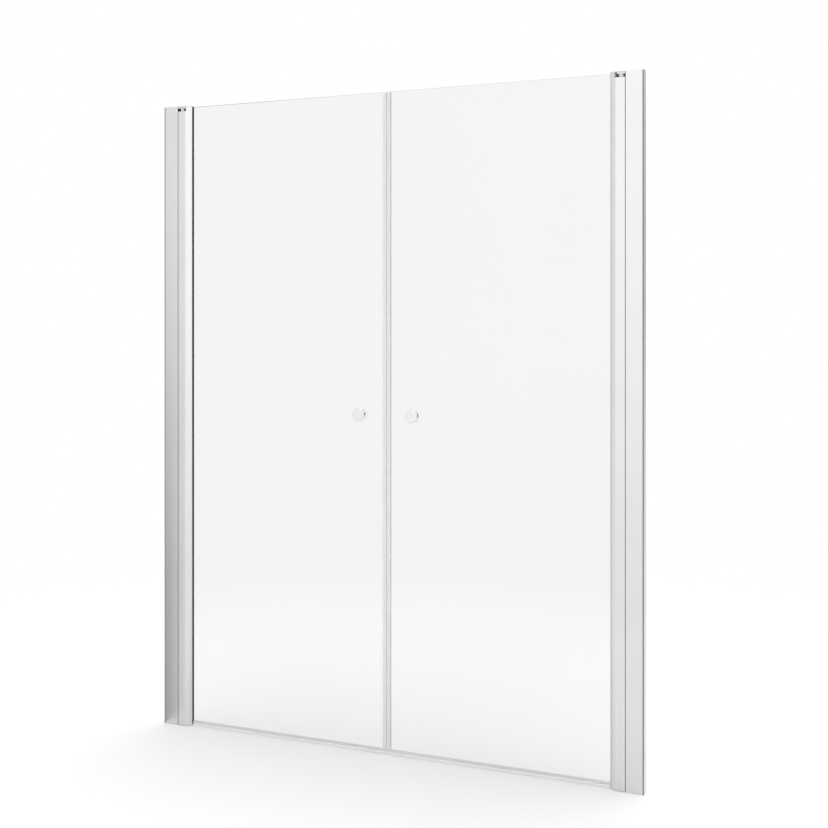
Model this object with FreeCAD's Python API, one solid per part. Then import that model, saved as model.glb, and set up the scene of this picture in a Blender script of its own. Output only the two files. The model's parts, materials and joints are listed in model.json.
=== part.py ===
import FreeCAD, Part
import math
import os

# Saloon shower door: two glass leaves between two wall posts, each swinging in and out.
# Lengths are in mm. The left side is drawn with u counted from the left wall,
# y from the middle of the glass (outside is negative) and z from the floor.
# The right side is its mirror image. The finished door has its origin on the floor,
# midway between the walls and in the middle of its depth over the posts and the knobs.

# Overall size
OPENING_WIDTH = 1570.0
DOOR_HEIGHT = 2000.0
FRONT_SETBACK = 20.0

# Wall channel, screwed to the wall
CHANNEL_WALL = 2.0
CHANNEL_END_GAP = 3.8
SLIDE_CLEARANCE = 0.3
WALL_HOLE_RADIUS = 2.75
WALL_HOLE_COUNT = 4
WALL_HOLE_END_MARGIN = 100.0

# Dark seal strips between wall and post
WALL_SEAL_DEPTH = 1.8
WALL_SEAL_SLACK = 0.2

# Post, slid over the wall channel
POST_WIDTH = 51.5
POST_DEPTH = 26.0
POST_SKIN = 2.0
NOSE_EDGE = 0.3
POST_SHADOW_GAP = 4.0
PORT_INSET = 11.5
PORT_RADIUS = 4.2
PORT_BITE = 0.5
PORT_HOLE_RADIUS = 1.9
PORT_HOLE_DEPTH = 40.0

# Soft wiper lining in the nose of the post
WIPER_SETBACK = 0.35
WIPER_FIT = 0.05
WIPER_PLAY = 0.65

# Screws that hold the post on the wall channel
POST_SCREW_U = 20.0
POST_SCREW_COUNT = 3
POST_SCREW_END_MARGIN = 250.0
POST_SCREW_RADIUS = 1.75
POST_SCREW_HEAD_RADIUS = 3.6
POST_SCREW_HEAD_HEIGHT = 2.2
POST_SCREW_TIP = 3.0
SCREW_SLACK = 0.1

# Pivots
SWING_GAP = 0.9
TOP_BRACKET_THICKNESS = 6.0
BOTTOM_BRACKET_THICKNESS = 2.2
BRACKET_SLACK = 0.2
BRACKET_ARM_WIDTH = 14.0
BRACKET_EYE_INSET = 0.5
PIN_RADIUS = 4.0
PIN_FIT = 0.02
PIN_RUNNING_FIT = 0.06
PIN_REACH = 30.0
PIN_SUNK = 0.5
COLLAR_RADIUS = 9.2
COLLAR_WIDTH = 14.4
COLLAR_PLAY = 0.3
LIFT_SPACE = 8.5
COVER_THICKNESS = 1.5
WASHER_INSET = 0.8
WASHER_THICKNESS = 1.5
WASHER_PLAY = 0.2
INSERT_FLANGE = 0.8
INSERT_LENGTH = 36.0
INSERT_FIT = 0.05
BLOCK_INSET = 1.5
BLOCK_FRONT_INSET = 4.4
BLOCK_END_GAP = 2.9
BLOCK_PLAY = 0.5
BLOCK_WINDOW_MARGIN = 1.0

# Screws that hold the brackets on the ends of the post
BRACKET_SCREW_RADIUS = 1.8
BRACKET_SCREW_HEAD_RADIUS = 3.2
BRACKET_SCREW_HEAD_HEIGHT = 2.0
BRACKET_SCREW_LENGTH = 28.0
SCREW_RECESS_RADIUS = 1.2
SCREW_RECESS_DEPTH = 1.2

# Hinge profile, clamped on the glass
SLIT = 1.8
SHOULDER_EDGE = 0.3
BARREL_SKIN = 2.2
NOTCH_REACH = 16.6
CURVE_REACH = 12.2
JAW_REACH = 32.1
FRONT_FALL = 11.5
JAW_EDGE = 0.5
JAW_THICKNESS = 1.8
GLASS_POCKET_DEPTH = 14.0
CHAMBER_SKIN = 1.8
LEAF_CLEARANCE = 0.5
END_CAP_THICKNESS = 1.5
END_CAP_SLACK = 0.2
END_CAP_LUG_RADIUS = 1.9
END_CAP_LUG_LENGTH = 8.0

# Glazing gasket
GASKET_BASE = 1.2
GASKET_FIT = 0.05
GASKET_FLANGE = 0.6
GASKET_FLANGE_INSET = 0.6

# Glass
GLASS_THICKNESS = 6.0
GLASS_TOP_GAP = 2.5
GLASS_FLOOR_GAP = 10.0
GLASS_HOLE_RADIUS = 5.0
GLASS_ARRIS = 0.6

# Magnetic edge seal
SEAM_GAP = 0.8
EDGE_SEAL_WIDTH = 12.5
EDGE_SEAL_WALL = 1.1
EDGE_SEAL_HALF_DEPTH = 5.0
EDGE_SEAL_ROUND = 0.9
MAGNET_WIDTH = 3.6
MAGNET_SLACK = 0.1
SEAL_FIT = 0.05
SEAL_LEG = 1.2

# Drip seal under the glass
DRIP_TOP = 15.5
DRIP_LIP_GAP = 1.5
DRIP_LIP_THICKNESS = 1.1
DRIP_LIP_SPLAY = 0.9
DRIP_END_GAP = 0.6

# Knobs
KNOB_FROM_SEAM = 87.0
KNOB_HEIGHT = 1022.0
KNOB_RADIUS = 20.0
KNOB_PROJECTION = 19.0
KNOB_NECK_LENGTH = 6.5
INNER_KNOB_RADIUS = 10.5
INNER_KNOB_PROJECTION = 8.0
INNER_KNOB_NECK_LENGTH = 1.5
KNOB_NECK_SHARE = 0.6
KNOB_FACE_ROUND = 2.0
KNOB_BACK_ROUND = 0.8
KNOB_END_WALL = 2.5
STUD_RADIUS = 3.0
STUD_FIT = 0.05
KNOB_WASHER_MARGIN = 0.5
KNOB_WASHER_THICKNESS = 1.0
KNOB_SPIGOT_FIT = 0.1
KNOB_SPIGOT_PART_GAP = 0.1

# Sizes that follow from the ones above
HALF_WIDTH = OPENING_WIDTH / 2
FRONT = -FRONT_SETBACK
BACK = FRONT + POST_DEPTH
HALF_DEPTH = POST_DEPTH / 2
NOSE_REACH = HALF_DEPTH + SWING_GAP
NOSE_RADIUS = math.hypot(NOSE_REACH, HALF_DEPTH)
PIVOT_U = POST_WIDTH + NOSE_REACH
PIVOT_Y = FRONT + HALF_DEPTH
SHOULDER_U = POST_WIDTH + SLIT
SHOULDER_RADIUS = math.hypot(PIVOT_U - SHOULDER_U, HALF_DEPTH)
BARREL_BORE = HALF_DEPTH - BARREL_SKIN
NOTCH_U = PIVOT_U + NOTCH_REACH
CURVE_U = PIVOT_U + CURVE_REACH
JAW_END = PIVOT_U + JAW_REACH
JAW_FRONT = FRONT + FRONT_FALL
EYE_HALF_DEPTH = HALF_DEPTH - BRACKET_EYE_INSET
EYE_REACH = NOTCH_REACH - SWING_GAP
POST_INSIDE = HALF_DEPTH - POST_SKIN
CHANNEL_HALF_DEPTH = POST_INSIDE - SLIDE_CLEARANCE
PORT_Y_OFFSET = POST_INSIDE - PORT_RADIUS + PORT_BITE
PORT_U = POST_WIDTH - PORT_INSET
TONGUE_START = PORT_U - PORT_RADIUS
TONGUE_END = PORT_U + PORT_RADIUS
CHANNEL_REACH = TONGUE_START - CHANNEL_END_GAP
TOP_PLATE = DOOR_HEIGHT - COVER_THICKNESS
TOP_PLATE_UNDER = TOP_PLATE - TOP_BRACKET_THICKNESS
TOP_FLANGE = TOP_PLATE_UNDER - LIFT_SPACE
TOP_BARREL_END = TOP_FLANGE - INSERT_FLANGE
WASHER_RADIUS = BARREL_BORE - WASHER_INSET
WASHER_TOP = BOTTOM_BRACKET_THICKNESS + WASHER_THICKNESS
BOTTOM_INSERT_END = WASHER_TOP + WASHER_PLAY
HALF_GLASS = GLASS_THICKNESS / 2
JAW_INSIDE = BACK - JAW_THICKNESS
POCKET_U = JAW_END - GLASS_POCKET_DEPTH
GLASS_U = POCKET_U + GASKET_BASE + GASKET_FIT * 2
WING_TOP = DOOR_HEIGHT - END_CAP_THICKNESS
WING_BOTTOM = BOTTOM_BRACKET_THICKNESS + LEAF_CLEARANCE + END_CAP_THICKNESS
TOP_LUG_END = WING_TOP - END_CAP_LUG_LENGTH
BOTTOM_LUG_END = WING_BOTTOM + END_CAP_LUG_LENGTH
BOTTOM_CAP_UNDER = WING_BOTTOM - END_CAP_THICKNESS
GLASS_TOP = DOOR_HEIGHT - GLASS_TOP_GAP
SEAL_FACE_U = HALF_WIDTH - SEAM_GAP / 2
MAGNET_ROOM = MAGNET_WIDTH + MAGNET_SLACK * 2
GLASS_EDGE_U = SEAL_FACE_U - EDGE_SEAL_WALL * 2 - MAGNET_ROOM - SEAL_FIT
SEAL_GRIP = HALF_GLASS + SEAL_FIT
KNOB_U = HALF_WIDTH - KNOB_FROM_SEAM
KNOB_SEAT = HALF_GLASS + KNOB_WASHER_THICKNESS
KNOB_FACE = HALF_GLASS + KNOB_PROJECTION
INNER_KNOB_FACE = HALF_GLASS + INNER_KNOB_PROJECTION
SCREW_CROWN = BACK + POST_SCREW_HEAD_HEIGHT
DEPTH_MIDDLE = (min(FRONT, -KNOB_FACE) + max(SCREW_CROWN, INNER_KNOB_FACE)) / 2
TOUCHING = 0.01
ALONG_U = FreeCAD.Vector(1, 0, 0)
ALONG_Y = FreeCAD.Vector(0, 1, 0)
ALONG_Z = FreeCAD.Vector(0, 0, 1)
ORIGIN = FreeCAD.Vector(0, 0, 0)


def slab(u_from, u_to, y_from, y_to, z_from, z_to):
    """Box between two corners."""
    corner = FreeCAD.Vector(u_from, y_from, z_from)
    return Part.makeBox(u_to - u_from, y_to - y_from, z_to - z_from, corner)


def pivot_slab(u_from, u_to, half_depth, z_from, z_to):
    """Box with its depth centred on the pivot line, as the post is."""
    return slab(u_from, u_to, PIVOT_Y - half_depth, PIVOT_Y + half_depth, z_from, z_to)


def upright(u, y, radius, z_from, z_to):
    """Cylinder standing on z."""
    return Part.makeCylinder(radius, z_to - z_from, FreeCAD.Vector(u, y, z_from), ALONG_Z)


def across(u, z, radius, y_from, y_to):
    """Cylinder lying along y."""
    return Part.makeCylinder(radius, y_to - y_from, FreeCAD.Vector(u, y_from, z), ALONG_Y)


def bar(corners, u_from, u_to):
    """Straight bar along u from a list of y, z corners."""
    points = [FreeCAD.Vector(u_from, y, z) for y, z in corners]
    face = Part.Face(Part.makePolygon(points + points[:1]))
    return face.extrude(ALONG_U * (u_to - u_from))


def join(first, *others):
    """One solid from touching solids."""
    return first.fuse(list(others)).removeSplitter()


def upright_edges(shape, u, y_values):
    """Straight z edges of a shape at one u and any of some y values."""
    found = []
    for edge in shape.Edges:
        middle = edge.CenterOfMass
        standing = abs(edge.BoundBox.ZLength - edge.Length) < TOUCHING
        at_u = abs(middle.x - u) < TOUCHING
        at_y = any(abs(middle.y - y) < TOUCHING for y in y_values)
        if standing and at_u and at_y:
            found.append(edge)
    return found


def rim_at(shape, y):
    """First edge of a round shape that lies across y at one depth."""
    return [edge for edge in shape.Edges if abs(edge.CenterOfMass.y - y) < TOUCHING][:1]


def export_pair(node, *solids):
    """Writes a left piece and its mirror image on the right."""
    pieces = [piece for solid in solids for piece in solid.Solids]
    shape = pieces[0] if len(pieces) == 1 else Part.makeCompound(pieces)
    left = shape.translated(FreeCAD.Vector(-HALF_WIDTH, -DEPTH_MIDDLE, 0))
    left.exportStep("parts/left_" + node + ".step")
    right = left.mirror(ORIGIN, ALONG_U)
    right.exportStep("parts/right_" + node + ".step")


def evenly(count, end_margin):
    """Heights at equal steps between the margins at the two ends of the door."""
    step = (DOOR_HEIGHT - end_margin * 2) / (count - 1)
    return [end_margin + step * index for index in range(count)]


def port_positions():
    """Depth positions of the two screw ports in the post."""
    return [PIVOT_Y - PORT_Y_OFFSET, PIVOT_Y + PORT_Y_OFFSET]


def post_screw_heights():
    """Heights of the screws that clamp the post to the wall channel."""
    return evenly(POST_SCREW_COUNT, POST_SCREW_END_MARGIN)


def wall_channel():
    """U-shaped channel with its web on the wall."""
    outer = pivot_slab(0, CHANNEL_REACH, CHANNEL_HALF_DEPTH, 0, TOP_PLATE)
    inside = CHANNEL_HALF_DEPTH - CHANNEL_WALL
    shape = outer.cut(pivot_slab(CHANNEL_WALL, CHANNEL_REACH, inside, 0, TOP_PLATE))
    for height in evenly(WALL_HOLE_COUNT, WALL_HOLE_END_MARGIN):
        start = FreeCAD.Vector(0, PIVOT_Y, height)
        shape = shape.cut(Part.makeCylinder(WALL_HOLE_RADIUS, CHANNEL_WALL, start, ALONG_U))
    for height in post_screw_heights():
        shape = shape.cut(across(POST_SCREW_U, height, POST_SCREW_RADIUS + SCREW_SLACK, PIVOT_Y, BACK))
    return shape


def wall_seals():
    """Two dark strips on the flanges of the channel, one on each face, that close the gap at the wall."""
    end = POST_SHADOW_GAP - WALL_SEAL_SLACK
    inner = CHANNEL_HALF_DEPTH
    outer = CHANNEL_HALF_DEPTH + WALL_SEAL_DEPTH
    front = slab(0, end, PIVOT_Y - outer, PIVOT_Y - inner, 0, TOP_PLATE)
    back = slab(0, end, PIVOT_Y + inner, PIVOT_Y + outer, 0, TOP_PLATE)
    return [front, back]


def post_profile():
    """Post open towards the wall, with a nose hollowed round the pivot and screw ports."""
    outer = slab(POST_SHADOW_GAP, POST_WIDTH, FRONT, BACK, 0, DOOR_HEIGHT)
    outer = outer.cut(upright(PIVOT_U, PIVOT_Y, NOSE_RADIUS, 0, DOOR_HEIGHT))
    outer = outer.makeFillet(NOSE_EDGE, upright_edges(outer, POST_WIDTH, [FRONT, BACK]))
    hollow = pivot_slab(POST_SHADOW_GAP, POST_WIDTH, POST_INSIDE, 0, DOOR_HEIGHT)
    hollow = hollow.cut(upright(PIVOT_U, PIVOT_Y, NOSE_RADIUS + POST_SKIN, 0, DOOR_HEIGHT))
    shape = outer.cut(hollow)
    low = BOTTOM_BRACKET_THICKNESS
    ports = [upright(PORT_U, y, PORT_RADIUS, low, TOP_PLATE_UNDER) for y in port_positions()]
    shape = join(shape, *ports)
    for y in port_positions():
        shape = shape.cut(upright(PORT_U, y, PORT_HOLE_RADIUS, low, low + PORT_HOLE_DEPTH))
        top_hole = upright(PORT_U, y, PORT_HOLE_RADIUS, TOP_PLATE_UNDER - PORT_HOLE_DEPTH, TOP_PLATE_UNDER)
        shape = shape.cut(top_hole)
    arm_room = BRACKET_ARM_WIDTH / 2 + BRACKET_SLACK
    shape = shape.cut(pivot_slab(PORT_U, POST_WIDTH, arm_room, 0, low))
    shape = shape.cut(pivot_slab(PORT_U, POST_WIDTH, arm_room, TOP_PLATE_UNDER, DOOR_HEIGHT))
    for height in post_screw_heights():
        shape = shape.cut(across(POST_SCREW_U, height, POST_SCREW_RADIUS + SCREW_SLACK, PIVOT_Y, BACK))
    return shape


def post_screw(height):
    """Pan-head screw through the inner sides of post and channel."""
    inner_end = PIVOT_Y + CHANNEL_HALF_DEPTH - CHANNEL_WALL - POST_SCREW_TIP
    shank = across(POST_SCREW_U, height, POST_SCREW_RADIUS, inner_end, BACK)
    head = across(POST_SCREW_U, height, POST_SCREW_HEAD_RADIUS, BACK, SCREW_CROWN)
    head = head.makeFillet(POST_SCREW_HEAD_HEIGHT / 2, rim_at(head, SCREW_CROWN))
    recess = across(POST_SCREW_U, height, SCREW_RECESS_RADIUS, SCREW_CROWN - SCREW_RECESS_DEPTH, SCREW_CROWN)
    return join(shank, head).cut(recess)


def wiper_seal():
    """Soft lining on the hollow of the nose that closes the slit to the hinge profile."""
    low = BOTTOM_BRACKET_THICKNESS
    lining = upright(PIVOT_U, PIVOT_Y, NOSE_RADIUS - WIPER_FIT, low, TOP_PLATE_UNDER)
    lining = lining.cut(upright(PIVOT_U, PIVOT_Y, SHOULDER_RADIUS + WIPER_PLAY, low, TOP_PLATE_UNDER))
    return lining.common(pivot_slab(0, PIVOT_U, HALF_DEPTH - WIPER_SETBACK, low, TOP_PLATE_UNDER))


def cheek(half_depth, z_from, z_to):
    """Part of a disc round the pivot, cut level at front and back, on the side of the post."""
    disc = upright(PIVOT_U, PIVOT_Y, SHOULDER_RADIUS, z_from, z_to)
    return disc.common(pivot_slab(PIVOT_U - SHOULDER_RADIUS, PIVOT_U, half_depth, z_from, z_to))


def plate_outline(z_from, z_to, start_u):
    """Tongue in the post, arm through the nose and eye around the pivot."""
    tongue = pivot_slab(start_u, TONGUE_END, POST_INSIDE - BRACKET_SLACK, z_from, z_to)
    arm = pivot_slab(TONGUE_END, PIVOT_U, BRACKET_ARM_WIDTH / 2, z_from, z_to)
    eye = upright(PIVOT_U, PIVOT_Y, EYE_REACH, z_from, z_to)
    eye = eye.common(pivot_slab(PIVOT_U, PIVOT_U + EYE_REACH, EYE_HALF_DEPTH, z_from, z_to))
    return join(tongue, arm, cheek(EYE_HALF_DEPTH, z_from, z_to), eye)


def bracket_screw(y, seat, pointing):
    """Countersunk screw whose head is level with seat and whose shank points along z."""
    direction = ALONG_Z * pointing
    start = FreeCAD.Vector(PORT_U, y, seat)
    neck = start + direction * BRACKET_SCREW_HEAD_HEIGHT
    head = Part.makeCone(
        BRACKET_SCREW_HEAD_RADIUS, BRACKET_SCREW_RADIUS, BRACKET_SCREW_HEAD_HEIGHT, start, direction
    )
    shank_length = BRACKET_SCREW_LENGTH - BRACKET_SCREW_HEAD_HEIGHT
    shank = Part.makeCylinder(BRACKET_SCREW_RADIUS, shank_length, neck, direction)
    recess = Part.makeCylinder(SCREW_RECESS_RADIUS, SCREW_RECESS_DEPTH, start, direction)
    return join(head, shank).cut(recess)


def screw_seat(y, seat, pointing):
    """Room in a bracket for one countersunk screw."""
    direction = ALONG_Z * pointing
    start = FreeCAD.Vector(PORT_U, y, seat)
    wide = BRACKET_SCREW_HEAD_RADIUS + SCREW_SLACK
    narrow = BRACKET_SCREW_RADIUS + SCREW_SLACK
    head = Part.makeCone(wide, narrow, BRACKET_SCREW_HEAD_HEIGHT, start, direction)
    shank = Part.makeCylinder(narrow, BRACKET_SCREW_LENGTH, start, direction)
    return join(head, shank)


def pivot_bracket(z_from, z_to, seat, pointing):
    """Plate on one end of the post that carries a pivot pin."""
    shape = plate_outline(z_from, z_to, TONGUE_START)
    for y in port_positions():
        shape = shape.cut(screw_seat(y, seat, pointing))
    return shape.cut(upright(PIVOT_U, PIVOT_Y, PIN_RADIUS + PIN_FIT, z_from, z_to))


def top_cover():
    """Thin cover over the channel, the top bracket and its screws."""
    return plate_outline(TOP_PLATE, DOOR_HEIGHT, 0)


def pivot_pin(z_from, z_to):
    """Plain pin on the pivot line."""
    return upright(PIVOT_U, PIVOT_Y, PIN_RADIUS, z_from, z_to)


def pivot_ring(radius, z_from, z_to):
    """Ring with room for the pin."""
    disc = upright(PIVOT_U, PIVOT_Y, radius, z_from, z_to)
    return disc.cut(upright(PIVOT_U, PIVOT_Y, PIN_RADIUS + PIN_RUNNING_FIT, z_from, z_to))


def lift_collar():
    """Collar with two flats between the top bracket and the leaf."""
    low = TOP_FLANGE + COLLAR_PLAY
    ring = pivot_ring(COLLAR_RADIUS, low, TOP_PLATE_UNDER)
    half = COLLAR_WIDTH / 2
    return ring.common(slab(PIVOT_U - half, PIVOT_U + half, FRONT, BACK, low, TOP_PLATE_UNDER))


def bottom_pivot_insert():
    """Plug in the lower end of the barrel that runs on the pin and the washer."""
    top = BOTTOM_INSERT_END + INSERT_LENGTH
    return pivot_ring(BARREL_BORE - INSERT_FIT, BOTTOM_INSERT_END, top)


def top_pivot_insert():
    """Plug in the upper end of the barrel, with a block round the collar that leaves its front open."""
    plug = pivot_ring(BARREL_BORE - INSERT_FIT, TOP_FLANGE - INSERT_LENGTH, TOP_FLANGE)
    half_depth = HALF_DEPTH - BLOCK_INSET
    top = TOP_PLATE_UNDER - BLOCK_PLAY
    side = pivot_slab(PIVOT_U, NOTCH_U - BLOCK_END_GAP, half_depth, TOP_BARREL_END, top)
    block = join(cheek(half_depth, TOP_BARREL_END, top), side)
    block = block.cut(slab(0, NOTCH_U, FRONT, FRONT + BLOCK_FRONT_INSET, TOP_FLANGE, top))
    block = block.cut(upright(PIVOT_U, PIVOT_Y, PIN_RADIUS + PIN_RUNNING_FIT, TOP_BARREL_END, TOP_FLANGE))
    block = block.cut(upright(PIVOT_U, PIVOT_Y, COLLAR_RADIUS + COLLAR_PLAY, TOP_FLANGE, top))
    half_window = COLLAR_WIDTH / 2 + BLOCK_WINDOW_MARGIN
    window = slab(PIVOT_U - half_window, PIVOT_U + half_window, FRONT, PIVOT_Y, TOP_FLANGE, top)
    return join(plug, block.cut(window))


def front_curve(skin, u_from, u_to, y_to, z_from, z_to):
    """Solid behind the curved front that falls from the flat front to the jaw tip."""
    run = JAW_END - CURVE_U
    radius = (run * run + FRONT_FALL * FRONT_FALL) / (2 * FRONT_FALL)
    disc = upright(CURVE_U, FRONT + radius, radius - skin, z_from, z_to)
    return disc.common(slab(u_from, u_to, FRONT, y_to, z_from, z_to))


def hinge_outline(z_from, z_to):
    """Rounded shoulder at the post, flat and curved front and glass jaws without any hollows."""
    middle = slab(PIVOT_U, CURVE_U, FRONT, BACK, z_from, z_to)
    front = front_curve(0, CURVE_U, JAW_END, BACK, z_from, z_to)
    shape = join(cheek(HALF_DEPTH, z_from, z_to), middle, front)
    shape = shape.makeFillet(SHOULDER_EDGE, upright_edges(shape, SHOULDER_U, [FRONT, BACK]))
    return shape.makeFillet(JAW_EDGE, upright_edges(shape, JAW_END, [JAW_FRONT, BACK]))


def hinge_chamber(z_from, z_to):
    """Hollow between the curved front, the notch at the top and the front jaw."""
    return front_curve(
        CHAMBER_SKIN, NOTCH_U + CHAMBER_SKIN, JAW_END - CHAMBER_SKIN, -BACK, z_from, z_to
    )


def hinge_profile():
    """Long profile that turns on the pivots and grips the glass."""
    shape = hinge_outline(WING_BOTTOM, WING_TOP)
    shape = shape.cut(upright(PIVOT_U, PIVOT_Y, BARREL_BORE, WING_BOTTOM, WING_TOP))
    shape = shape.cut(hinge_chamber(WING_BOTTOM, WING_TOP))
    shape = shape.cut(slab(POCKET_U, JAW_END, -JAW_INSIDE, JAW_INSIDE, WING_BOTTOM, WING_TOP))
    return shape.cut(slab(0, NOTCH_U, FRONT, BACK, TOP_BARREL_END, WING_TOP))


def end_cap(opening, z_from, z_to, lug_from, lug_to):
    """Cap over one end of the hinge profile, held by a lug in the hollow behind the curved front."""
    plate = hinge_outline(z_from, z_to).cut(opening)
    hollow = hinge_chamber(z_from, z_to).Solids[0].CenterOfMass
    return join(plate, upright(hollow.x, hollow.y, END_CAP_LUG_RADIUS, lug_from, lug_to))


def top_end_cap():
    """Cap beside the top bracket."""
    notch = slab(0, NOTCH_U + END_CAP_SLACK, FRONT, BACK, WING_TOP, DOOR_HEIGHT)
    return end_cap(notch, WING_TOP, DOOR_HEIGHT, TOP_LUG_END, WING_TOP)


def bottom_end_cap():
    """Cap over the whole lower end, open round the pin and the washer."""
    opening = upright(PIVOT_U, PIVOT_Y, BARREL_BORE, BOTTOM_CAP_UNDER, WING_BOTTOM)
    return end_cap(opening, BOTTOM_CAP_UNDER, WING_BOTTOM, WING_BOTTOM, BOTTOM_LUG_END)


def glazing_gasket():
    """U-shaped rubber around the glass edge, with flanges over the jaw tips."""
    outer = JAW_INSIDE - GASKET_FIT
    inner = HALF_GLASS + GASKET_FIT
    tip = JAW_END + GASKET_FIT
    channel = slab(POCKET_U + GASKET_FIT, tip, -outer, outer, WING_BOTTOM, WING_TOP)
    cover = BACK - GASKET_FLANGE_INSET
    flange = slab(tip, tip + GASKET_FLANGE, -cover, cover, WING_BOTTOM, WING_TOP)
    slot = slab(GLASS_U - GASKET_FIT, tip + GASKET_FLANGE, -inner, inner, WING_BOTTOM, WING_TOP)
    return join(channel, flange).cut(slot)


def glass_panel():
    """Glass sheet with ground edges and the hole for the knobs."""
    sheet = slab(GLASS_U, GLASS_EDGE_U, -HALF_GLASS, HALF_GLASS, GLASS_FLOOR_GAP, GLASS_TOP)
    rims = [edge for edge in sheet.Edges if edge.BoundBox.YLength < TOUCHING]
    sheet = sheet.makeChamfer(GLASS_ARRIS, rims)
    return sheet.cut(across(KNOB_U, KNOB_HEIGHT, GLASS_HOLE_RADIUS, -HALF_GLASS, HALF_GLASS))


def edge_seal():
    """Clip along the free glass edge with a chamber for the magnet."""
    legs = SEAL_GRIP + SEAL_LEG
    deep = EDGE_SEAL_HALF_DEPTH
    clip_start = SEAL_FACE_U - EDGE_SEAL_WIDTH
    chamber_end = SEAL_FACE_U - EDGE_SEAL_WALL * 2 - MAGNET_ROOM
    clip = slab(clip_start, chamber_end, -legs, legs, DRIP_TOP, GLASS_TOP)
    clip = clip.cut(slab(clip_start, chamber_end, -SEAL_GRIP, SEAL_GRIP, DRIP_TOP, GLASS_TOP))
    tube = slab(chamber_end, SEAL_FACE_U, -deep, deep, DRIP_TOP, GLASS_TOP)
    tube = tube.makeFillet(EDGE_SEAL_ROUND, upright_edges(tube, SEAL_FACE_U, [-deep, deep]))
    room_half = deep - EDGE_SEAL_WALL
    room_start = chamber_end + EDGE_SEAL_WALL
    room = slab(room_start, room_start + MAGNET_ROOM, -room_half, room_half, DRIP_TOP, GLASS_TOP)
    return join(clip, tube).cut(room)


def magnet_strip():
    """Flat magnet inside the edge seal."""
    start = SEAL_FACE_U - EDGE_SEAL_WALL - MAGNET_SLACK - MAGNET_WIDTH
    half = EDGE_SEAL_HALF_DEPTH - EDGE_SEAL_WALL - MAGNET_SLACK
    return slab(start, start + MAGNET_WIDTH, -half, half, DRIP_TOP, GLASS_TOP)


def drip_seal():
    """Clip under the glass with two splayed lips that hang just above the floor."""
    half = SEAL_GRIP + SEAL_LEG
    under = GLASS_FLOOR_GAP - SEAL_FIT
    base = under - SEAL_LEG
    foot = half + DRIP_LIP_SPLAY
    start = JAW_END + GASKET_FIT + GASKET_FLANGE + DRIP_END_GAP
    end = SEAL_FACE_U - DRIP_END_GAP
    clip = slab(start, end, -half, half, base, DRIP_TOP)
    clip = clip.cut(slab(start, end, -SEAL_GRIP, SEAL_GRIP, under, DRIP_TOP))
    lips = []
    for side in (-1, 1):
        outer_top = (side * half, under)
        inner_top = (side * (half - DRIP_LIP_THICKNESS), under)
        inner_foot = (side * (foot - DRIP_LIP_THICKNESS), DRIP_LIP_GAP)
        outer_foot = (side * foot, DRIP_LIP_GAP)
        lips.append(bar([outer_top, inner_top, inner_foot, outer_foot], start, end))
    return join(clip, *lips)


def knob(radius, neck_length, face):
    """Round knob on a neck, drawn on the inner face of the glass."""
    shoulder = KNOB_SEAT + neck_length
    body = across(KNOB_U, KNOB_HEIGHT, radius, shoulder, face)
    body = body.makeFillet(KNOB_FACE_ROUND, rim_at(body, face))
    body = body.makeFillet(KNOB_BACK_ROUND, rim_at(body, shoulder))
    neck = across(KNOB_U, KNOB_HEIGHT, radius * KNOB_NECK_SHARE, KNOB_SEAT, shoulder)
    hole = across(KNOB_U, KNOB_HEIGHT, STUD_RADIUS + STUD_FIT, KNOB_SEAT, face - KNOB_END_WALL)
    return join(body, neck).cut(hole)


def outer_knob():
    """Knob on the outer face of the glass."""
    return knob(KNOB_RADIUS, KNOB_NECK_LENGTH, KNOB_FACE).mirror(ORIGIN, ALONG_Y)


def inner_knob():
    """Smaller knob on the inner face of the glass."""
    return knob(INNER_KNOB_RADIUS, INNER_KNOB_NECK_LENGTH, INNER_KNOB_FACE)


def knob_stud():
    """Stud through the glass that both knobs screw on to."""
    outer_end = KNOB_FACE - KNOB_END_WALL - STUD_FIT
    inner_end = INNER_KNOB_FACE - KNOB_END_WALL - STUD_FIT
    return across(KNOB_U, KNOB_HEIGHT, STUD_RADIUS, -outer_end, inner_end)


def knob_washer(knob_radius):
    """Flanged washer with a spigot that centres the stud in the glass hole, drawn on the inner face."""
    flange_radius = knob_radius * KNOB_NECK_SHARE + KNOB_WASHER_MARGIN
    flange = across(KNOB_U, KNOB_HEIGHT, flange_radius, HALF_GLASS, KNOB_SEAT)
    spigot_radius = GLASS_HOLE_RADIUS - KNOB_SPIGOT_FIT
    spigot = across(KNOB_U, KNOB_HEIGHT, spigot_radius, KNOB_SPIGOT_PART_GAP, HALF_GLASS)
    return join(flange, spigot).cut(across(KNOB_U, KNOB_HEIGHT, STUD_RADIUS + STUD_FIT, 0, KNOB_SEAT))


def knob_washers():
    """One washer under each knob."""
    return [knob_washer(KNOB_RADIUS).mirror(ORIGIN, ALONG_Y), knob_washer(INNER_KNOB_RADIUS)]


os.makedirs("parts", exist_ok=True)

# Fixed frame
export_pair("wall_channel", wall_channel())
export_pair("wall_seals", *wall_seals())
export_pair("post_profile", post_profile())
export_pair("post_screws", *[post_screw(height) for height in post_screw_heights()])
export_pair("wiper_seal", wiper_seal())
export_pair("top_cover", top_cover())
export_pair("top_bracket", pivot_bracket(TOP_PLATE_UNDER, TOP_PLATE, TOP_PLATE, -1))
export_pair("bottom_bracket", pivot_bracket(0, BOTTOM_BRACKET_THICKNESS, 0, 1))
export_pair("top_bracket_screws", *[bracket_screw(y, TOP_PLATE, -1) for y in port_positions()])
export_pair("bottom_bracket_screws", *[bracket_screw(y, 0, 1) for y in port_positions()])
export_pair("top_pivot_pin", pivot_pin(TOP_FLANGE - PIN_REACH, TOP_PLATE - PIN_SUNK))
export_pair("bottom_pivot_pin", pivot_pin(PIN_SUNK, BOTTOM_INSERT_END + PIN_REACH))
export_pair("lift_collar", lift_collar())
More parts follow.
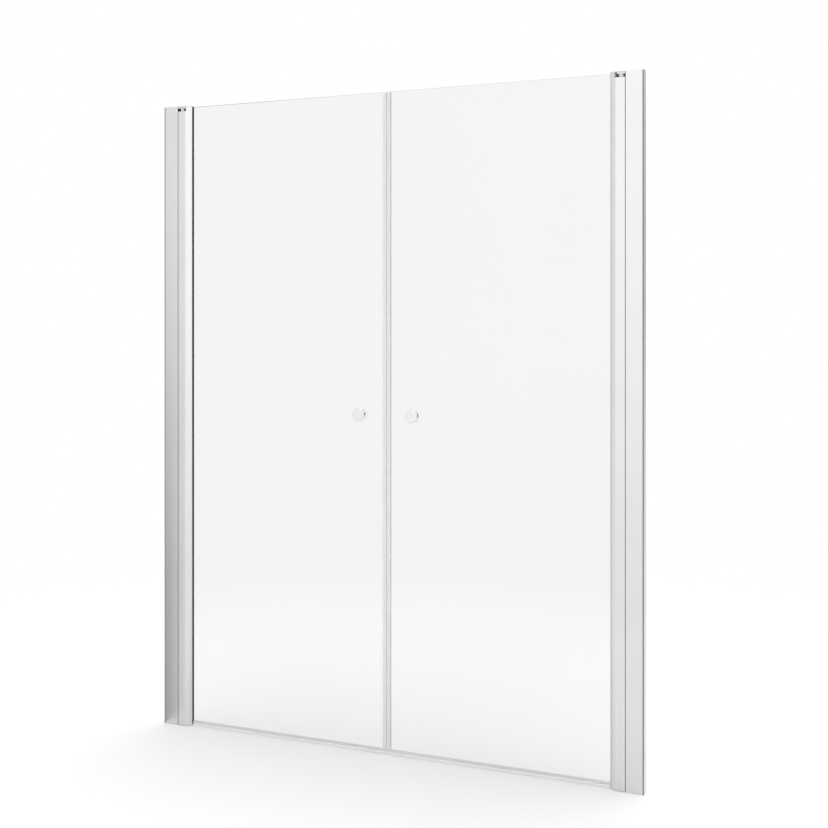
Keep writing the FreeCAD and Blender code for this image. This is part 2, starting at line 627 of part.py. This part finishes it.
export_pair("thrust_washer", pivot_ring(WASHER_RADIUS, BOTTOM_BRACKET_THICKNESS, WASHER_TOP))

# Swinging leaf
export_pair("hinge_profile", hinge_profile())
export_pair("top_end_cap", top_end_cap())
export_pair("bottom_end_cap", bottom_end_cap())
export_pair("top_pivot_insert", top_pivot_insert())
export_pair("bottom_pivot_insert", bottom_pivot_insert())
export_pair("glazing_gasket", glazing_gasket())
export_pair("glass_panel", glass_panel())
export_pair("edge_seal", edge_seal())
export_pair("magnet_strip", magnet_strip())
export_pair("drip_seal", drip_seal())
export_pair("outer_knob", outer_knob())
export_pair("inner_knob", inner_knob())
export_pair("knob_stud", knob_stud())
export_pair("knob_washers", *knob_washers())
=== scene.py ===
import json
import math

import bpy
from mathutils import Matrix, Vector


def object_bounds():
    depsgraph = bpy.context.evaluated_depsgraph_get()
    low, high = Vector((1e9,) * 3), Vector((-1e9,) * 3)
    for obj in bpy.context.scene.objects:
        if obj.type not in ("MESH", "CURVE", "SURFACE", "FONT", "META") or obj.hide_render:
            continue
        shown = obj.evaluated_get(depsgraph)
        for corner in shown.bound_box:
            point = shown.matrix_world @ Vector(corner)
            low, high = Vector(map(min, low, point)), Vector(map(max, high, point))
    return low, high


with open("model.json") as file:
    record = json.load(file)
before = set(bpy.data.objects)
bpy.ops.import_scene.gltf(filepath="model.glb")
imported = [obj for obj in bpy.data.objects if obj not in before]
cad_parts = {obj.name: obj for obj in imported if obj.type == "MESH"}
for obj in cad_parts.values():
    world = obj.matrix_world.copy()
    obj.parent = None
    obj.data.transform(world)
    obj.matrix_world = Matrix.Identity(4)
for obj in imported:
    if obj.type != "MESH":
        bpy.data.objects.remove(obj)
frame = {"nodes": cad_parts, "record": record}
CAD_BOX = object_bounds()

SIDES = ("left", "right")

# Camera, with its place in metres and its turns in degrees: level, in front of the door and to the right
CAMERA_PLACE = (1.5422, -3.4034, 1.306)
CAMERA_LEVEL = 90.0
CAMERA_TURN = 23.1
CAMERA_LENS = 53.912
CAMERA_SENSOR = 36.0
CAMERA_SHIFT_UP = -0.11217

# Floor, in metres: it runs out into white between a near and a far distance from the middle of the door
FLOOR_REACH = 6.0
FLOOR_DROP = 0.0005
FLOOR_COLOUR = (0.94, 0.94, 0.94, 1.0)
FLOOR_ROUGHNESS = 0.9
FLOOR_WHITE_NEAR = 0.8
FLOOR_WHITE_FAR = 3.0
FLOOR_WHITE_LEAST = 0.35

# Sky: its strength as light, and its strength to the eye, to mirrors and through glass
SKY_COLOUR = (1.0, 1.0, 1.0, 1.0)
SKY_LIGHT = 0.75
SKY_SEEN = 1.0

# Key glow in front of the door: direction, added strength, and the angles in degrees between which it fades
KEY_TOWARDS = (0.64, -0.77, 0.04)
KEY_GLOW = 0.39
KEY_FULL_WITHIN = 48.0
KEY_NONE_BEYOND = 80.0
KEY_NONE_BELOW = -12.0
KEY_FULL_ABOVE = 0.0

# Painted dark reflection, as of a dark card behind the door: direction, strength taken away, and the angles
# in degrees between which it fades
DARK_REFLECTION_TOWARDS = (0.425, 0.9, 0.07)
DARK_REFLECTION_SHADE = 0.85
DARK_REFLECTION_FULL_WITHIN = 8.0
DARK_REFLECTION_NONE_BEYOND = 13.0

# Graded film beside the left post, in metres, which paints shade into what mirrors show: its painted shade
# is deepest at the post and at the floor
SIDE_FILM_GAP = 0.005
SIDE_FILM_WIDTH = 0.18
SIDE_FILM_HEIGHT = 2.2
SIDE_FILM_SHADE_LOW = 0.55
SIDE_FILM_SHADE_HIGH = 0.06
SIDE_FILM_GRADED_TO = 1.9

# Overhead lamp: strength, and its spread and tilt in degrees
OVERHEAD_LIGHT = 1.2
OVERHEAD_SPREAD = 40.0
OVERHEAD_TILT = (-12.0, 6.0, 0.0)

# Mark between a ray that hasn't bounced and one that has
HALF_BOUNCE = 0.5

# Shading of the CAD meshes: edges shallower than this many degrees are shaded as one smooth surface
SMOOTH_BELOW = 30.0
SAME_POINT = 0.000001

# Middle part of a noise, which is spread over the whole range of a colour or a roughness
NOISE_LOW = 0.3
NOISE_HIGH = 0.7
NO_STRETCH = (1.0, 1.0, 1.0)
OPAQUE = 1.0


def feed(tree, node, *values):
    """Gives a node's inputs their values in order, each a socket to link or a plain value."""
    for socket, value in zip(node.inputs, values):
        if isinstance(value, bpy.types.NodeSocket):
            tree.links.new(value, socket)
        else:
            socket.default_value = value


def combine(tree, operation, first, second):
    """Value of two numbers, each a socket or a plain number."""
    node = tree.nodes.new("ShaderNodeMath")
    node.operation = operation
    feed(tree, node, first, second)
    return node.outputs["Value"]


def faded(tree, value, low, high, at_low=0.0, at_high=1.0):
    """Number that runs softly from one amount to another while a value rises between two marks."""
    fade = tree.nodes.new("ShaderNodeMapRange")
    fade.interpolation_type = "SMOOTHSTEP"
    feed(tree, fade, value, low, high, at_low, at_high)
    return fade.outputs["Result"]


class Finish:
    """One material with its shader and short ways to feed it."""

    def __init__(self, name, **sockets):
        self.material = bpy.data.materials.new(name)
        self.material.use_nodes = True
        self.tree = self.material.node_tree
        self.add = self.tree.nodes.new
        self.join = self.tree.links.new
        self.shader = self.tree.nodes["Principled BSDF"]
        self.place = self.add("ShaderNodeTexCoord").outputs["Object"]
        for socket, value in sockets.items():
            self.shader.inputs[socket.replace("_", " ")].default_value = value

    def noise(self, per_metre, detail, stretch=NO_STRETCH):
        """Noise of a given scale per metre, drawn out along the axes with a small stretch value."""
        mapping = self.add("ShaderNodeMapping")
        mapping.inputs["Scale"].default_value = stretch
        self.join(self.place, mapping.inputs["Vector"])
        texture = self.add("ShaderNodeTexNoise")
        texture.inputs["Scale"].default_value = per_metre
        texture.inputs["Detail"].default_value = detail
        self.join(mapping.outputs["Vector"], texture.inputs["Vector"])
        return texture.outputs["Fac"]

    def colour(self, value, dark, light):
        """Base colour that follows a value."""
        ramp = self.add("ShaderNodeValToRGB")
        first, last = ramp.color_ramp.elements
        first.position = NOISE_LOW
        first.color = (*dark, OPAQUE)
        last.position = NOISE_HIGH
        last.color = (*light, OPAQUE)
        self.join(value, ramp.inputs["Fac"])
        self.join(ramp.outputs["Color"], self.shader.inputs["Base Color"])

    def roughness(self, value, least, most):
        """Roughness that follows a value."""
        spread = self.add("ShaderNodeMapRange")
        feed(self.tree, spread, value, NOISE_LOW, NOISE_HIGH, least, most)
        self.join(spread.outputs["Result"], self.shader.inputs["Roughness"])

    def relief(self, value, depth, strength):
        """Bump of a real depth in metres."""
        bump = self.add("ShaderNodeBump")
        bump.inputs["Strength"].default_value = strength
        bump.inputs["Distance"].default_value = depth
        self.join(value, bump.inputs["Height"])
        self.join(bump.outputs["Normal"], self.shader.inputs["Normal"])

    def surface(self, source):
        """Takes the surface from another shader."""
        self.join(source, self.tree.nodes["Material Output"].inputs["Surface"])


def satin_metal(name, dark, light, rough, along_z):
    """Anodised or cast metal with fine marks, drawn out along z on extruded profiles."""
    finish = Finish(name, Metallic=1.0)
    marks = finish.noise(per_metre=2200.0, detail=4.0, stretch=(1.0, 1.0, along_z))
    clouds = finish.noise(per_metre=6.0, detail=2.0)
    finish.colour(clouds, dark, light)
    finish.roughness(marks, *rough)
    finish.relief(marks, depth=0.000004, strength=0.3)
    return finish.material


def chrome():
    """Polished plating with hardly visible polishing marks."""
    finish = Finish("polished_chrome", Metallic=1.0)
    marks = finish.noise(per_metre=600.0, detail=3.0)
    finish.colour(marks, dark=(0.72, 0.73, 0.74), light=(0.75, 0.76, 0.77))
    finish.roughness(marks, least=0.03, most=0.07)
    finish.relief(marks, depth=0.000002, strength=0.3)
    return finish.material


def clear_glass():
    """Clear sheet with a trace of grey-green and faint wiping marks."""
    finish = Finish("clear_glass", Transmission_Weight=1.0, IOR=1.5)
    clouds = finish.noise(per_metre=3.0, detail=3.0)
    finish.colour(clouds, dark=(0.886, 0.893, 0.891), light=(0.894, 0.900, 0.898))
    finish.roughness(clouds, least=0.0, most=0.01)
    finish.relief(clouds, depth=0.00002, strength=0.2)
    return finish.material


def clear_seal(name, stretch, clearness):
    """Translucent soft plastic with extrusion lines."""
    finish = Finish(name, Transmission_Weight=clearness, IOR=1.46, Subsurface_Weight=0.5,
                    Subsurface_Scale=0.004, Subsurface_Radius=(1.0, 1.0, 1.0))
    lines = finish.noise(per_metre=900.0, detail=2.0, stretch=stretch)
    finish.colour(lines, dark=(0.94, 0.945, 0.94), light=(0.97, 0.975, 0.97))
    finish.roughness(lines, least=0.08, most=0.14)
    finish.relief(lines, depth=0.000005, strength=0.3)
    return finish.material


def matt_plastic(name, dark, light, rough, grain_depth, shine=0.5):
    """Moulded plastic or rubber with a fine grain."""
    finish = Finish(name, Specular_IOR_Level=shine)
    grain = finish.noise(per_metre=1400.0, detail=4.0)
    clouds = finish.noise(per_metre=25.0, detail=3.0)
    finish.colour(clouds, dark, light)
    finish.roughness(grain, *rough)
    finish.relief(grain, grain_depth, strength=0.6)
    return finish.material


# Finish of each material slot; rough gives the least and the most roughness
FINISHES = {
    "aluminium": satin_metal(
        "satin_aluminium", dark=(0.70, 0.705, 0.71), light=(0.72, 0.725, 0.73),
        rough=(0.26, 0.32), along_z=0.002,
    ),
    "stainless": satin_metal(
        "turned_stainless", dark=(0.52, 0.52, 0.525), light=(0.60, 0.60, 0.605),
        rough=(0.18, 0.3), along_z=0.2,
    ),
    "bracket_metal": satin_metal(
        "cast_bracket", dark=(0.60, 0.605, 0.61), light=(0.64, 0.645, 0.65),
        rough=(0.3, 0.42), along_z=1.0,
    ),
    "dark_rubber": matt_plastic(
        "dark_rubber", dark=(0.018, 0.018, 0.019), light=(0.03, 0.03, 0.031),
        rough=(0.5, 0.7), grain_depth=3e-5,
    ),
    "grey_plastic": matt_plastic(
        "grey_plastic", dark=(0.52, 0.53, 0.54), light=(0.57, 0.58, 0.59),
        rough=(0.38, 0.5), grain_depth=2e-5,
    ),
    "white_plastic": matt_plastic(
        "white_plastic", dark=(0.86, 0.86, 0.85), light=(0.9, 0.9, 0.89),
        rough=(0.28, 0.4), grain_depth=1e-5,
    ),
    # Near-black plastic, which at the pivot openings also stands in for the shadow beside the collar: partly
    # painted shade
    "dark_plastic": matt_plastic(
        "dark_plastic", dark=(0.01, 0.01, 0.01), light=(0.017, 0.017, 0.018),
        rough=(0.4, 0.55), grain_depth=2e-5,
    ),
    "glass": clear_glass(),
    "clear_seal": clear_seal("clear_seal", stretch=(1.0, 1.0, 0.01), clearness=0.12),
    "magnet": matt_plastic(
        "magnet_strip", dark=(0.84, 0.84, 0.83), light=(0.88, 0.88, 0.87),
        rough=(0.45, 0.6), grain_depth=2e-5,
    ),
    "chrome": chrome(),
}

# Finish of single pieces, on both sides, that differs from their slot's; the wall and wiper seals are
# darkened partly as painted shade
EXTRA_FINISHES = {
    "drip_seal": clear_seal("clear_seal_across", stretch=(0.01, 1.0, 1.0), clearness=0.9),
    # Grey rubber of the wall seals, dark enough to stand in for the shadow in the gap between the posts and
    # the wall: partly painted shade
    "wall_seals": matt_plastic(
        "wall_rubber_and_gap_shade", dark=(0.23, 0.233, 0.236), light=(0.27, 0.273, 0.276),
        rough=(0.5, 0.7), grain_depth=3e-5,
    ),
    # Black wiper rubber, darker and duller than the dark rubber so that the slit between post and hinge
    # profile reads as shadow: partly painted shade
    "wiper_seal": matt_plastic(
        "wiper_rubber_and_slit_shade", dark=(0.006, 0.006, 0.006), light=(0.011, 0.011, 0.011),
        rough=(0.8, 0.9), grain_depth=3e-5, shine=0.1,
    ),
}


def smooth_shading():
    """Node group that joins equal points and shades across shallow edges."""
    group = bpy.data.node_groups.new("smooth_shading", "GeometryNodeTree")
    group.interface.new_socket("Geometry", in_out="INPUT", socket_type="NodeSocketGeometry")
    group.interface.new_socket("Geometry", in_out="OUTPUT", socket_type="NodeSocketGeometry")
    add = group.nodes.new
    join = group.links.new
    source = add("NodeGroupInput")
    plain = add("GeometryNodeRemoveAttribute")
    plain.inputs["Name"].default_value = "custom_normal"
    join(source.outputs["Geometry"], plain.inputs["Geometry"])
    merge = add("GeometryNodeMergeByDistance")
    merge.inputs["Distance"].default_value = SAME_POINT
    join(plain.outputs["Geometry"], merge.inputs["Geometry"])
    faces = add("GeometryNodeSetShadeSmooth")
    faces.domain = "FACE"
    join(merge.outputs["Geometry"], faces.inputs["Geometry"])
    angle = add("GeometryNodeInputMeshEdgeAngle")
    shallow = add("FunctionNodeCompare")
    shallow.operation = "LESS_THAN"
    shallow.inputs["B"].default_value = math.radians(SMOOTH_BELOW)
    join(angle.outputs["Unsigned Angle"], shallow.inputs["A"])
    edges = add("GeometryNodeSetShadeSmooth")
    edges.domain = "EDGE"
    join(faces.outputs["Geometry"], edges.inputs["Geometry"])
    join(shallow.outputs["Result"], edges.inputs["Shade Smooth"])
    join(edges.outputs["Geometry"], add("NodeGroupOutput").inputs["Geometry"])
    return group


def smooth_nodes():
    """Lets curved faces run into flat ones without a crease in the shading."""
    group = smooth_shading()
    for node in frame["nodes"].values():
        shading = node.modifiers.new("smooth_shading", "NODES")
        shading.node_group = group
        weighted = node.modifiers.new("weighted_normals", "WEIGHTED_NORMAL")
        weighted.keep_sharp = True


def dress_nodes():
    """Gives every CAD node the finish of its slot, and some pieces their own."""
    for subpart in frame["record"]["subparts"]:
        node = frame["nodes"][subpart["node"]]
        node.data.materials.clear()
        node.data.materials.append(FINISHES[subpart["material_slot"]])
    for side in SIDES:
        for piece, finish in EXTRA_FINISHES.items():
            frame["nodes"][side + "_" + piece].data.materials[0] = finish


def light_path(tree):
    """What is known of the ray that asks for a colour."""
    return tree.nodes.new("ShaderNodeLightPath").outputs


def before_diffuse(tree, path):
    """One where a ray hasn't yet bounced off a matt surface."""
    return combine(tree, "LESS_THAN", path["Diffuse Depth"], HALF_BOUNCE)


def seen_rays(tree):
    """One where a ray comes straight from the camera, from a mirror or through glass."""
    path = light_path(tree)
    seen = combine(tree, "MAXIMUM", path["Is Camera Ray"], path["Is Glossy Ray"])
    seen = combine(tree, "MAXIMUM", seen, path["Is Transmission Ray"])
    return combine(tree, "MULTIPLY", seen, before_diffuse(tree, path))


def sky_place(tree):
    """Direction of a point of the sky."""
    return tree.nodes.new("ShaderNodeTexCoord").outputs["Generated"]


def lobe(tree, towards, full_within, none_beyond, amount):
    """Amount that fills the sky around one direction and fades out at a given angle from it."""
    aim = tree.nodes.new("ShaderNodeVectorMath")
    aim.operation = "DOT_PRODUCT"
    feed(tree, aim, sky_place(tree), towards)
    edge = math.cos(math.radians(none_beyond))
    core = math.cos(math.radians(full_within))
    return faded(tree, aim.outputs["Value"], edge, core, at_high=amount)


def above(tree, none_below, full_above):
    """One above the upper of two elevations, in degrees, and nothing below the lower one."""
    split = tree.nodes.new("ShaderNodeSeparateXYZ")
    feed(tree, split, sky_place(tree))
    low = math.sin(math.radians(none_below))
    high = math.sin(math.radians(full_above))
    return faded(tree, split.outputs["Z"], low, high)


def key_glow(tree):
    """Broad soft brightness of the studio in front of the door, which metal and lit surfaces get."""
    glow = lobe(tree, KEY_TOWARDS, KEY_FULL_WITHIN, KEY_NONE_BEYOND, KEY_GLOW)
    raised = combine(tree, "MULTIPLY", glow, above(tree, KEY_NONE_BELOW, KEY_FULL_ABOVE))
    path = light_path(tree)
    plain = combine(tree, "MAXIMUM", path["Is Camera Ray"], path["Is Transmission Ray"])
    lighting = combine(tree, "SUBTRACT", 1.0, plain)
    return combine(tree, "MULTIPLY", raised, lighting)


def painted_dark_reflection(tree):
    """Painted dark reflection, as of a dark card behind the door on the right, which only mirroring surfaces
    show.
    """
    shade = lobe(tree, DARK_REFLECTION_TOWARDS, DARK_REFLECTION_FULL_WITHIN, DARK_REFLECTION_NONE_BEYOND, DARK_REFLECTION_SHADE)
    path = light_path(tree)
    mirrored = combine(tree, "GREATER_THAN", path["Glossy Depth"], HALF_BOUNCE)
    shown = combine(tree, "MULTIPLY", mirrored, before_diffuse(tree, path))
    return combine(tree, "MULTIPLY", shade, shown)


def make_world():
    """White to the eye, soft light to the object."""
    world = bpy.data.worlds.new("studio")
    bpy.context.scene.world = world
    world.use_nodes = True
    tree = world.node_tree
    background = tree.nodes["Background"]
    background.inputs["Color"].default_value = SKY_COLOUR
    extra = combine(tree, "MULTIPLY", seen_rays(tree), SKY_SEEN - SKY_LIGHT)
    level = combine(tree, "ADD", extra, SKY_LIGHT)
    level = combine(tree, "ADD", level, key_glow(tree))
    # Painted dark reflection, taken away only from what mirrors show
    level = combine(tree, "SUBTRACT", level, painted_dark_reflection(tree))
    tree.links.new(level, background.inputs["Strength"])


def studio_sheet(name, corners, paint):
    """Flat sheet that stands or lies in the studio."""
    mesh = bpy.data.meshes.new(name)
    mesh.from_pydata(corners, [], [range(len(corners))])
    mesh.materials.append(paint)
    sheet = bpy.data.objects.new(name, mesh)
    bpy.context.scene.collection.objects.link(sheet)
    return sheet


def floor_paint():
    """Pale paint that catches the shadow near the door and runs out into white further off."""
    finish = Finish("floor_paint", Roughness=FLOOR_ROUGHNESS, Base_Color=FLOOR_COLOUR)
    tree = finish.tree
    distance = finish.add("ShaderNodeVectorMath")
    distance.operation = "LENGTH"
    feed(tree, distance, finish.place)
    away = distance.outputs["Value"]
    white_part = faded(tree, away, FLOOR_WHITE_NEAR, FLOOR_WHITE_FAR, at_low=FLOOR_WHITE_LEAST)
    shown = combine(tree, "MULTIPLY", white_part, seen_rays(tree))
    white = finish.add("ShaderNodeEmission")
    mix = finish.add("ShaderNodeMixShader")
    feed(tree, mix, shown, finish.shader.outputs["BSDF"], white.outputs["Emission"])
    finish.surface(mix.outputs["Shader"])
    return finish.material


def make_floor():
    """Wide pale floor just under the door."""
    ends = ((-1, -1), (1, -1), (1, 1), (-1, 1))
    corners = [(x * FLOOR_REACH, y * FLOOR_REACH, -FLOOR_DROP) for x, y in ends]
    floor = studio_sheet("floor", corners, floor_paint())


def painted_shade_film_paint(inner, outer):
    """Clear film of painted shade, darker towards the inner edge and towards the floor."""
    finish = Finish("painted_shade_film_paint")
    tree = finish.tree
    split = finish.add("ShaderNodeSeparateXYZ")
    feed(tree, split, finish.place)
    near = faded(tree, split.outputs["Y"], outer, inner)
    height = split.outputs["Z"]
    shade = faded(tree, height, 0.0, SIDE_FILM_GRADED_TO, SIDE_FILM_SHADE_LOW, SIDE_FILM_SHADE_HIGH)
    level = combine(tree, "SUBTRACT", 1.0, combine(tree, "MULTIPLY", near, shade))
    film = finish.add("ShaderNodeBsdfTransparent")
    feed(tree, film, level)
    finish.surface(film.outputs["BSDF"])
    tree.nodes.remove(finish.shader)
    return finish.material


def make_painted_shade_film():
    """Upright film in front of the left post, at its wall side, which only mirroring surfaces show: a
    painted reflection of shade.
    """
    least, _ = CAD_BOX
    left, inner, _ = least
    place = left - SIDE_FILM_GAP
    outer = inner - SIDE_FILM_WIDTH
    low = -FLOOR_DROP
    high = SIDE_FILM_HEIGHT
    corners = [(place, y, z) for y, z in ((inner, low), (outer, low), (outer, high), (inner, high))]
    film = studio_sheet("painted_shade_film", corners, painted_shade_film_paint(inner, outer))
    film.visible_camera = False
    film.visible_diffuse = False
    film.visible_transmission = False
    film.visible_shadow = False


def overhead_light():
    """Even, very soft light from above that reaches all of the floor alike."""
    lamp = bpy.data.lights.new("overhead", "SUN")
    lamp.energy = OVERHEAD_LIGHT
    lamp.angle = math.radians(OVERHEAD_SPREAD)
    holder = bpy.data.objects.new("overhead", lamp)
    holder.rotation_euler = [math.radians(turn) for turn in OVERHEAD_TILT]
    bpy.context.scene.collection.objects.link(holder)


def make_camera():
    """Level camera with the framing moved down by its shift."""
    camera = bpy.data.cameras.new("camera")
    camera.lens = CAMERA_LENS
    camera.sensor_width = CAMERA_SENSOR
    camera.shift_y = CAMERA_SHIFT_UP
    holder = bpy.data.objects.new("camera", camera)
    holder.location = CAMERA_PLACE
    holder.rotation_euler = (math.radians(CAMERA_LEVEL), 0.0, math.radians(CAMERA_TURN))
    bpy.context.scene.collection.objects.link(holder)
    bpy.context.scene.camera = holder


dress_nodes()
smooth_nodes()
make_world()
make_floor()
make_painted_shade_film()
overhead_light()
make_camera()
bpy.context.scene.view_settings.view_transform = "Standard"
